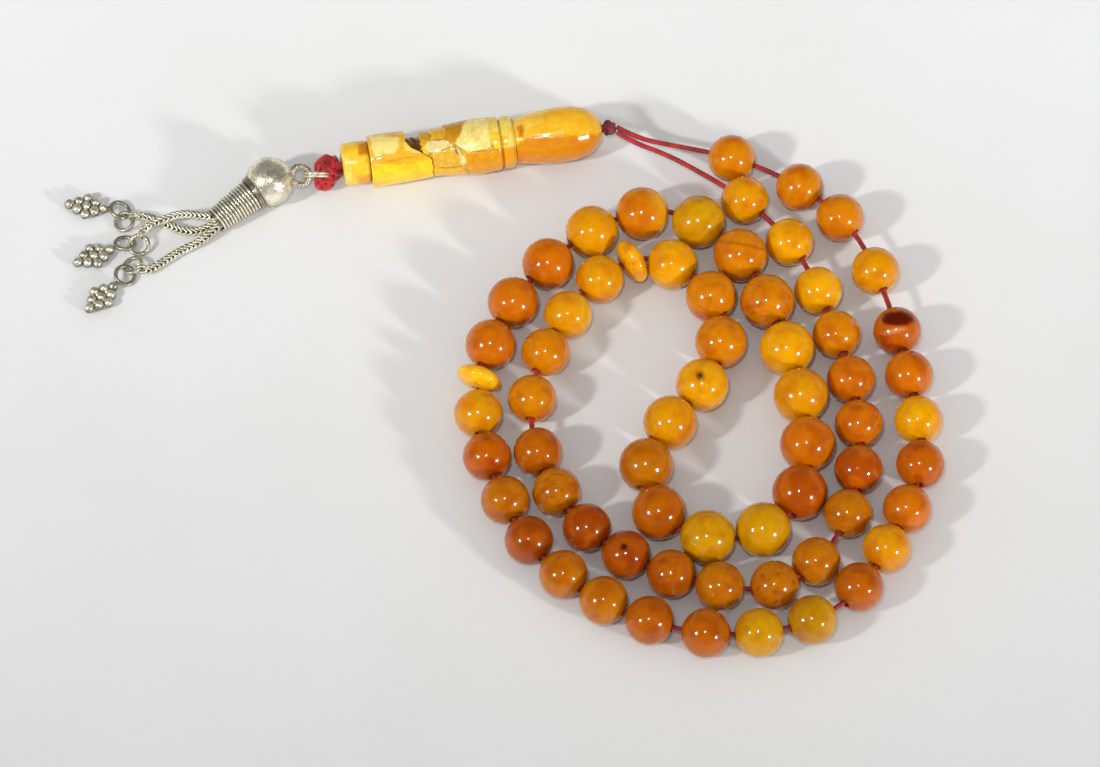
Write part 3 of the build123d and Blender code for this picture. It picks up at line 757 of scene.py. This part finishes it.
def make_leader():
    leader_piece("imame_foot_carved", "imame_foot", constant(0.02), constant(6.28),
                 along_profile((0, 4.85), (3, 4.95), (5.2, 4.9), (6.3, 4.7)), FOOT_PATCHES,
                 YELLOW, 60, rim=(1.1, 0.3), cracks=0.15)
    leader_piece("imame_sleeve_carved", "imame_sleeve", constant(6.32), broken_edge,
                 along_profile((6.3, 5.85), (9, 6.0), (14, 5.85), (21, 5.5)), SLEEVE_PATCHES,
                 GOLDEN, 90, rim=(0.4, 0.3), inner=4.25, cracks=0.3)
    leader_piece("imame_core_raw", "imame_sleeve", constant(6.4), constant(20.0), raw_core,
                 [], BROWN, 60, rim=(0, 0))
    leader_piece("imame_barrel_mosaic", "imame_barrel", barrel_edge, constant(36.38),
                 along_profile((16, 5.2), (20.6, 5.25), (21.2, 5.5), (24, 5.65), (24.6, 5.8),
                               (28, 6.1), (31, 6.25), (34, 6.15), (34.6, 6.0), (35.6, 6.1),
                               (36.4, 5.9)),
                 BARREL_PATCHES, GOLDEN, 150, rim=(0.3, 0.35), cracks=0.8, slot="amber_mosaic")
    leader_piece("imame_neck_ring_carved", "imame_neck_ring", constant(36.42), constant(39.78),
                 along_profile((36.4, 5.3), (36.7, 5.3), (37.1, 5.95), (38.1, 6.05),
                               (39.1, 5.95), (39.5, 5.3), (39.8, 5.25)),
                 RING_PATCHES, PALE, 60, rim=(0.1, 0.1), cracks=0.4)
    leader_piece("imame_bulb_polished", "imame_bulb", constant(39.82), constant(LEADER_LENGTH),
                 along_profile((39.8, 5.15), (41.5, 5.35), (44, 5.85), (48, 6.25), (51, 6.4),
                               (54, 6.2), (56.8, 5.35), (58.4, 4.2), (59.5, 2.9), (60.2, 1.5)),
                 BULB_PATCHES, GOLDEN, 130, rim=(0.2, 0), cracks=0.12)


make_leader()

# ---- Knots ----------------------------------------------------------------------------
def woven_ball(centre, radius, strand, leads, bights, squash, turn=0.0, steps=420):
    """A Turk's head knot: one strand that goes over and under itself round a ball."""
    t = np.linspace(0, 2 * math.pi * leads, steps, endpoint=False)
    wave = bights / leads * t
    latitude = math.radians(62) * np.sin(wave)
    reach = radius - strand + 0.42 * strand * np.cos(2 * wave + math.pi * (leads % 2) * 0.5)
    longitude = t + turn
    ring = np.stack([np.cos(latitude) * np.cos(longitude),
                     np.cos(latitude) * np.sin(longitude),
                     np.sin(latitude)], -1) * reach[:, None] * np.array(squash)
    return np.array(centre) + ring


def tied(name, centre, parts, base, node):
    """A knot of one or more woven balls, each (shift, radius, strand, leads, bights, squash)."""
    made = []
    for k, (shift, radius, strand, leads, bights, squash) in enumerate(parts):
        path = woven_ball(np.array(centre) + np.array(shift) * MM, radius * MM, strand * MM,
                          leads, bights, squash, turn=k * 1.3)
        lay = np.linspace(0, 2 * math.pi * 26, len(path))
        verts, faces = tube(path, strand * MM, sides=10, closed=True, lobes=3, depth=0.16,
                            twist=lay)
        made.append((verts, faces, cord_tint(verts, base, seed=4.0 + k)))
        # A darker ball inside the knot: painted shade in the gaps between the strands.
        inside = (radius - strand * 1.5) * MM
        core = turned_profile([(inside * math.cos(a), inside * math.sin(a))
                               for a in np.linspace(0.02, math.pi - 0.02, 14)],
                              (0, 0, 1), np.array(centre) + np.array(shift) * MM, 20)
        core_verts, core_faces = grid(core)
        made.append((core_verts, core_faces, base * 0.6))
    finish_merged(name, made, "leader", CORD, "cord_red", node)


def node_middle(node):
    low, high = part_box(node)
    return (low + high) / 2


tied("head_knot_tied", joints["leader_swing"]["pos_m"],
     [((0, 0, 0), 1.72, 0.58, 3, 4, (1, 1, 1))], srgb(128, 16, 26), "head_knot")
tied("tail_knot_tied", node_middle("tail_knot"),
     [((0.4, 1.0, -1.2), 3.35, 0.62, 5, 7, (1, 1, 0.9)),
      ((-0.6, -1.9, -2.0), 2.1, 0.55, 4, 5, (1.15, 1, 1))],
     srgb(198, 20, 26), "tail_knot")

# ---- Silver tassel --------------------------------------------------------------------
BRIGHT, GREY = np.array((0.94, 0.91, 0.78)), np.array((0.58, 0.55, 0.46))
SHADE = np.array((0.14, 0.12, 0.08))


def ring_path(centre, normal, radius, steps=64):
    across = Vector(normal).orthogonal().normalized()
    side = Vector(normal).normalized().cross(across)
    angles = np.linspace(0, 2 * math.pi, steps, endpoint=False)
    return (np.array(centre) + radius * (np.cos(angles)[:, None] * np.array(across)
                                         + np.sin(angles)[:, None] * np.array(side)))


def flat_normal(node):
    """The direction in which a ring-shaped CAD node is thinnest."""
    verts = np.array([v.co for v in frame["nodes"][node].data.vertices], float)
    return Vector(np.linalg.svd(verts - verts.mean(0), full_matrices=False)[2][2])


def shaded(verts, path, spine, sides):
    """Painted shade on silver wire: dark where a wire faces the inside of what it winds round."""
    facing = unit_rows(verts - np.repeat(path, sides, axis=0))
    outward = unit_rows(np.repeat(path, sides, axis=0) - np.repeat(spine, sides, axis=0))
    share = step_up((facing * outward).sum(1), 0.1, 0.95)[:, None]
    return blend(SHADE * 0.6, BRIGHT, share)


def wire_ring(centre, normal, radius, wire, steps=64, sides=12):
    return tube(ring_path(centre, normal, radius, steps), wire, sides=sides, closed=True)


def make_jump_ring():
    joint = joints["jump_ring_lift"]
    centre, normal = Vector(joint["pos_m"]), Vector(joint["axis"]).normalized()
    made = []
    for side in (-1, 1):
        verts, faces = wire_ring(centre + normal * side * 0.32 * MM, normal, 2.95 * MM, 0.31 * MM)
        made.append((verts, faces, BRIGHT))
    finish_merged("jump_ring_wire", made, "jump_ring", SILVER, "silver_wire", "jump_ring")


def make_eye():
    """A twisted wire of three strands, bent round into a band."""
    normal = flat_normal("tassel_eye")
    ball = node_middle("silver_ball")
    outward = (Vector(joints["tassel_swing"]["pos_m"]) - ball).normalized()
    centre = Vector(joints["tassel_swing"]["pos_m"]) - outward * 0.6 * MM
    made = []
    line = ring_path(centre, normal, 2.12 * MM, 240)
    outer = unit_rows(line - np.array(centre))
    for strand in range(3):
        phase = (np.linspace(0, 2 * math.pi * 7, len(line), endpoint=False)
                 + strand * 2 * math.pi / 3)
        path = (line + np.cos(phase)[:, None] * outer * 0.42 * MM
                + np.sin(phase)[:, None] * np.array(normal) * 0.42 * MM)
        verts, faces = tube(path, 0.36 * MM, sides=8, closed=True)
        # Painted shade where the strands face the inside of the band.
        made.append((verts, faces, shaded(verts, path, line, 8)))
    verts, faces, tint = merged(made)
    keep = np.linalg.norm(verts - np.array(ball), axis=1)
    verts = np.where(keep[:, None] < 5.6 * MM,
                     np.array(ball) + (verts - np.array(ball)) * (5.6 * MM / keep[:, None]), verts)
    piece = new_piece("tassel_eye_twisted", verts, faces, tint)
    finish_piece(piece, "tassel_head", SILVER, "silver", "tassel_eye")


BALL_CENTRE = node_middle("silver_ball")
winding_verts = np.array([v.co for v in frame["nodes"]["ferrule_winding"].data.vertices], float)
FERRULE_AXIS = (Vector(winding_verts.mean(0)) - BALL_CENTRE).normalized()
winding_reach = (winding_verts - np.array(BALL_CENTRE)) @ np.array(FERRULE_AXIS)
BALL_RADIUS = 5.6 * MM
WINDING_TURNS = 13
WINDING_WIRE = 0.37 * MM
WINDING_RADII = (3.45 * MM, 2.6 * MM)


def make_ball():
    """A hollow ball, open at the ferrule, slightly dented, with painted shade round its mouth."""
    mouth = math.acos(3.9 * MM / BALL_RADIUS)
    outer = [(BALL_RADIUS * math.cos(t), BALL_RADIUS * math.sin(t))
             for t in np.linspace(mouth, math.pi, 60)]
    inner = [(along * 0.93, size * 0.93) for along, size in reversed(outer[:-1])]
    points = turned_profile(outer + inner, FERRULE_AXIS, BALL_CENTRE, 96)
    verts, faces = grid(points, wrap_rows=True)
    dents = step_up(field((verts - np.array(BALL_CENTRE)) / BALL_RADIUS, 0.45, 3.0, 3), 0.1, 0.7)
    verts = verts - (verts - np.array(BALL_CENTRE)) * (0.012 * dents[:, None])
    along = ((verts - np.array(BALL_CENTRE)) @ np.array(FERRULE_AXIS)) / BALL_RADIUS
    worn = step_up(field(verts, 3.2 * MM, 8.0, 4), -0.35, 0.4)[:, None]
    tint = blend(GREY * 1.25, BRIGHT * 1.12, worn)
    # Painted shade round the mouth, where the collar meets the ball.
    edge = step_up(np.abs(along), 0.58, 0.72)[:, None] * (along > 0)[:, None] * 0.6
    tint = blend(tint, SHADE, edge)
    piece = new_piece("silver_ball_worn", verts, faces, tint)
    finish_piece(piece, "tassel_head", SILVER_BALL, "silver", "silver_ball")


def make_winding():
    """One wire wound round the tapered tube from the collar to its mouth."""
    first, last = winding_reach.min() + WINDING_WIRE, winding_reach.max() - WINDING_WIRE
    steps = WINDING_TURNS * 56
    share = np.linspace(0, 1, steps)
    angle = share * WINDING_TURNS * 2 * math.pi
    radius = WINDING_RADII[0] + share * (WINDING_RADII[1] - WINDING_RADII[0])
    across = np.array(FERRULE_AXIS.orthogonal().normalized())
    side = np.cross(np.array(FERRULE_AXIS), across)
    spine = (np.array(BALL_CENTRE)
             + (first + share * (last - first))[:, None] * np.array(FERRULE_AXIS))
    ring = np.cos(angle)[:, None] * across + np.sin(angle)[:, None] * side
    path = spine + radius[:, None] * ring
    path += (field(path, 3.0 * MM, 2.0) * 0.05 * MM)[:, None] * np.array(FERRULE_AXIS)
    verts, faces = tube(path, WINDING_WIRE, sides=10)
    # Painted shade: the wire is dark where it faces the tube it winds round.
    centres = np.vstack([np.repeat(spine, 10, axis=0), spine[:1], spine[-1:]])
    facing = unit_rows(verts - np.vstack([np.repeat(path, 10, axis=0), path[:1], path[-1:] + 1e-9]))
    outward = unit_rows(verts - centres)
    share = step_up((facing * outward).sum(1), 0.35, 0.97)[:, None]
    tint = blend(SHADE * 0.6, BRIGHT, share)
    piece = new_piece("ferrule_winding_wire", verts, tidy_faces(faces), tint)
    finish_piece(piece, "tassel_head", SILVER, "silver_wire", "ferrule_winding")


# ---- Chains ---------------------------------------------------------------------------
CHAIN_ROUTES = {
    "a": [(-67.6, 42.9, 4.1), (-72.5, 43.9, 3.7), (-77.2, 42.3, 3.4), (-81.3, 41, 2.1)],
    "b": [(-66.3, 41.6, 1.5), (-69.6, 40.4, 1.05), (-73, 40.9, 1.05), (-77.5, 43.2, 1.05),
          (-81.9, 44.9, 1.15)],
    "c": [(-65.2, 39.9, 2.7), (-68.7, 37.5, 1.2), (-73, 35.4, 1.05), (-77, 32.3, 1.05),
          (-80.5, 29.8, 1.2)],
}
LINK_PITCH, LINK_HALF_WIDTH, LINK_DEPTH, LINK_WIRE = 1.0 * MM, 0.76 * MM, 0.72 * MM, 0.27 * MM


def saddle_link(place, tangent, normal, binormal, steps=28):
    """A folded loop of wire: two sides reach forward along the chain and two back."""
    t = np.linspace(0, 2 * math.pi, steps, endpoint=False)
    return (place + LINK_HALF_WIDTH * (np.cos(t)[:, None] * normal + np.sin(t)[:, None] * binormal)
            + (LINK_DEPTH * np.cos(2 * t))[:, None] * tangent)


def make_chain(letter):
    """A woven chain of folded loops, with a round loop at its end."""
    route = [tuple(c * MM for c in point) for point in CHAIN_ROUTES[letter]]
    inside = Vector(route[0]) + (Vector(route[0]) - Vector(route[1])).normalized() * 2.2 * MM
    towards_pin = BALL_CENTRE + FERRULE_AXIS * (winding_reach.max() - 1.8 * MM)
    route = [tuple(inside * 0.55 + towards_pin * 0.45)] + route
    end = Vector(joints[f"end_ring_{letter}_swing"]["pos_m"])
    last = Vector(route[-1])
    route.append(tuple(last + (end - last) * max(0.0, 1 - 0.75 * MM / (end - last).length)))
    line, _ = even_steps(smooth_line(f"chain_line_{letter}", route), LINK_PITCH)
    tangents, normals, binormals = frames_along(line)
    quarter = math.radians(45)
    made = []
    for place, tangent, normal, binormal in zip(line, tangents, normals, binormals):
        turned = math.cos(quarter) * normal + math.sin(quarter) * binormal
        other = math.cos(quarter) * binormal - math.sin(quarter) * normal
        loop = saddle_link(place, tangent, turned, other)
        verts, faces = tube(loop, LINK_WIRE, sides=7, closed=True)
        # Painted shade between the loops.
        made.append((verts, faces, chain_painted_shade(verts, place, tangent)))
    along = Vector(line[-1] - line[-3]).normalized()
    upright = along.cross(Vector((0, 0, 1))).normalized()
    for lean in (-0.32, 0.32):
        verts, faces = wire_ring(end - along * 0.1 * MM + upright * lean * MM, upright, 0.95 * MM,
                                 0.27 * MM, steps=32)
        made.append((verts, faces, BRIGHT * 0.85))
    finish_merged(f"chain_{letter}_woven", made, f"chain_{letter}", SILVER, "silver_chain",
                  f"chain_{letter}")


def chain_painted_shade(verts, place, tangent):
    """Painted shade: bright where a loop stands out from the chain, dark between the loops."""
    offset = verts - place
    offset = offset - np.outer(offset @ tangent, tangent)
    reach = np.linalg.norm(offset, axis=1) / (LINK_HALF_WIDTH + LINK_WIRE)
    share = step_up(reach, 0.62, 0.97)[:, None]
    return blend(SHADE, BRIGHT * 1.1, share)


# ---- End rings and charms -------------------------------------------------------------
LOOP_CENTRES = {"a": (-85.6, 37.3, 1.3), "b": (-87.0, 46.2, 1.3), "c": (-85.3, 28.8, 1.3)}
CHARM_DIRECTIONS = {"a": (-0.9, -0.43), "b": (-0.99, 0.13), "c": (-0.67, -0.74)}
GRANULE, GRANULE_PITCH = 1.16, 2.28
END_RING, END_WIRE = 2.2, 0.45
GRANULE_ROWS = (1, 2, 3, 2, 1)
GREEN_PATINA = np.array((0.2, 0.42, 0.3))


def ball_arrays(centre, radius, rings=14, segments=22):
    profile = [(radius * math.cos(t), radius * math.sin(t))
               for t in np.linspace(0.03, math.pi - 0.03, rings)]
    return grid(turned_profile(profile, (0, 0, 1), centre, segments))


def make_end_ring(letter):
    centre = Vector(joints[f"charm_{letter}_swing"]["pos_m"])
    verts, faces = wire_ring(centre, flat_normal(f"end_ring_{letter}"), END_RING * MM,
                             END_WIRE * MM, steps=72, sides=14)
    tint = GREY * (0.8 + 0.5 * step_up(field(verts, 1.6 * MM, 6.0), -0.4, 0.5))[:, None]
    piece = new_piece(f"end_ring_{letter}_wire", verts, faces, tint)
    finish_piece(piece, f"end_ring_{letter}", SILVER, "silver_wire", f"end_ring_{letter}")


def make_charm(letter):
    """A loop and a lozenge of grains, with a second layer of grains under it."""
    loop = Vector(LOOP_CENTRES[letter]) * MM
    along = Vector((*CHARM_DIRECTIONS[letter], 0)).normalized()
    across = Vector((0, 0, 1)).cross(along)
    ring_normal = flat_normal(f"end_ring_{letter}")
    if ring_normal.z < 0:
        ring_normal.negate()
    between = loop - Vector(joints[f"charm_{letter}_swing"]["pos_m"])
    between.z = 0
    loop_normal = ring_normal.reflect(between.cross(Vector((0, 0, 1))).normalized())
    row_pitch = GRANULE_PITCH * math.sin(math.pi / 3)
    start = loop + along * (END_RING + END_WIRE + 1.18) * MM
    made = []
    verts, faces = wire_ring(loop, loop_normal, END_RING * MM, 0.46 * MM, steps=64, sides=14)
    made.append((verts, faces, GREY * 0.8))
    for row, count in enumerate(GRANULE_ROWS):
        for k in range(count):
            shift = (k - (count - 1) / 2) * GRANULE_PITCH
            lift = 0.12 * math.sin(row * 2.1 + k * 1.7)
            place = (start + (along * row * row_pitch + across * shift) * MM
                     + Vector((0, 0, lift)) * MM)
            size = GRANULE * (0.97 + 0.06 * math.sin(row * 3.3 + k * 5.1)) * MM
            made.append(granule(place, size))
            if count > 1 and k < count - 1:  # grains of the layer below, in the gaps
                below = place + across * GRANULE_PITCH / 2 * MM - Vector((0, 0, 0.25)) * MM
                made.append(granule(below, size * 0.72))
    tab_line = np.array([start - along * 1.5 * MM, start - along * 0.8 * MM, start])
    verts, faces = tube(tab_line, 0.5 * MM, sides=10)
    made.append((verts, faces, GREY * 0.6))
    verts, faces, tint = merged(made)
    tarnish = step_up(field(verts, 1.1 * MM, 14.0, 3), 0.0, 0.6)[:, None]
    tint = tint * (1 - 0.45 * tarnish)
    if letter == "a":
        middle = np.array(start + (along * row_pitch - across * 1.0) * MM)
        green = step_up(1.25 * MM - np.linalg.norm(verts - middle, axis=1), 0, 0.8 * MM)[:, None]
        tint = blend(tint, GREEN_PATINA, 0.7 * green)
    piece = new_piece(f"charm_{letter}_grapes", verts, tidy_faces(faces), tint)
    finish_piece(piece, f"charm_{letter}", SILVER, "silver", f"charm_{letter}")


def granule(place, size):
    """A grain with painted light on top and painted shade where it meets its neighbours."""
    verts, faces = ball_arrays(place, size)
    height = (verts[:, 2] - place.z) / size
    share = step_up(height, -0.1, 0.75)[:, None]
    return verts, faces, blend(SHADE * 1.2, BRIGHT * 1.05, share)


make_jump_ring()
make_eye()
make_ball()
make_winding()
for letter in CHAIN_ROUTES:
    make_chain(letter)
    make_end_ring(letter)
    make_charm(letter)

# CAD nodes that stay, with better materials.
LEADER_CORD = waxed_cord("cord_waxed_inner", tinted=False)
# The collar, the core and the pin get silver darkened with painted shade.
for name, material in (("ball_collar", SILVER_IN_PAINTED_SHADE), ("ferrule_core", SILVER_IN_PAINTED_SHADE),
                       ("tassel_pin", SILVER_IN_PAINTED_SHADE), ("leader_cord", LEADER_CORD)):
    node = frame["nodes"][name]
    node.data.materials.clear()
    node.data.materials.append(material)

# ---- Floor, light and background ------------------------------------------------------
LAMPS = (  # name, direction as right, up and towards the camera, size, power
    ("lamp_left", (-0.68, -0.04, 0.73), 0.12, 2.75),
    ("lamp_right", (0.74, -0.31, 0.6), 0.13, 2.7),
    ("lamp_camera", (-0.04, 0.1, 0.99), 0.08, 1.2),
)
LAMP_DISTANCE = 1.3
SKY_STRENGTH = 0.52
FLOOR_HALF = 3.0
LAMP_TARGET = Vector((0.1, 0.8, 0))  # past the object, so that its near side is dimmer
LAMP_SPREAD = math.radians(72)


def lamp_direction(right, up, back):
    return (IMAGE_RIGHT * right + IMAGE_UP * up + TO_CAMERA * back).normalized()


def make_floor():
    material, tree, main = shader("floor_paper")
    grain = noise_node(tree, 60 * MM, detail=4)
    paper = ramp(tree, grain.outputs["Fac"], [(0.3, srgb(218, 218, 216)),
                                              (0.7, srgb(222, 222, 221))])
    tree.links.new(paper.outputs["Color"], main.inputs["Base Color"])
    set_inputs(main, Roughness=0.7, Specular_IOR_Level=0.2)
    corners = [(x * FLOOR_HALF, y * FLOOR_HALF, 0) for x, y in ((-1, -1), (1, -1), (1, 1), (-1, 1))]
    floor = new_piece("floor", corners, [(0, 1, 2, 3)])
    floor.location.z = -0.15 * MM
    floor.data.materials.append(material)


def add_light(name, aim, size, power):
    """A soft lamp, placed by where its highlight shows on a round bead."""
    data = bpy.data.lights.new(name, "AREA")
    data.shape = "DISK"
    data.size = size
    data.energy = power
    data.spread = LAMP_SPREAD
    lamp = bpy.data.objects.new(name, data)
    lamp.location = lamp_direction(*aim) * LAMP_DISTANCE
    lamp.rotation_mode = "QUATERNION"
    lamp.rotation_quaternion = (lamp.location - LAMP_TARGET).to_track_quat("Z", "Y")
    scene.collection.objects.link(lamp)


def make_world():
    """Even pale light from all round, which glossy surfaces see only near the horizon."""
    world = bpy.data.worlds.new("studio")
    scene.world = world
    world.use_nodes = True
    tree = world.node_tree
    tree.nodes.clear()
    output = tree.nodes.new("ShaderNodeOutputWorld")
    even = tree.nodes.new("ShaderNodeBackground")
    set_inputs(even, Color=(0.97, 0.98, 1.0, 1), Strength=SKY_STRENGTH)
    seen = tree.nodes.new("ShaderNodeBackground")
    place = tree.nodes.new("ShaderNodeTexCoord")
    parts = tree.nodes.new("ShaderNodeSeparateXYZ")
    tree.links.new(place.outputs["Generated"], parts.inputs["Vector"])
    sky = ramp(tree, parts.outputs["Z"], [(0.05, 0.42), (0.3, 0.12), (0.5, 0.02)])
    tree.links.new(sky.outputs["Color"], seen.inputs["Color"])
    rays = tree.nodes.new("ShaderNodeLightPath")
    choice = tree.nodes.new("ShaderNodeMixShader")
    tree.links.new(rays.outputs["Is Glossy Ray"], choice.inputs["Fac"])
    tree.links.new(even.outputs["Background"], choice.inputs[1])
    tree.links.new(seen.outputs["Background"], choice.inputs[2])
    tree.links.new(choice.outputs["Shader"], output.inputs["Surface"])


make_floor()
make_world()
for lamp_settings in LAMPS:
    add_light(*lamp_settings)
scene.view_settings.view_transform = "Standard"
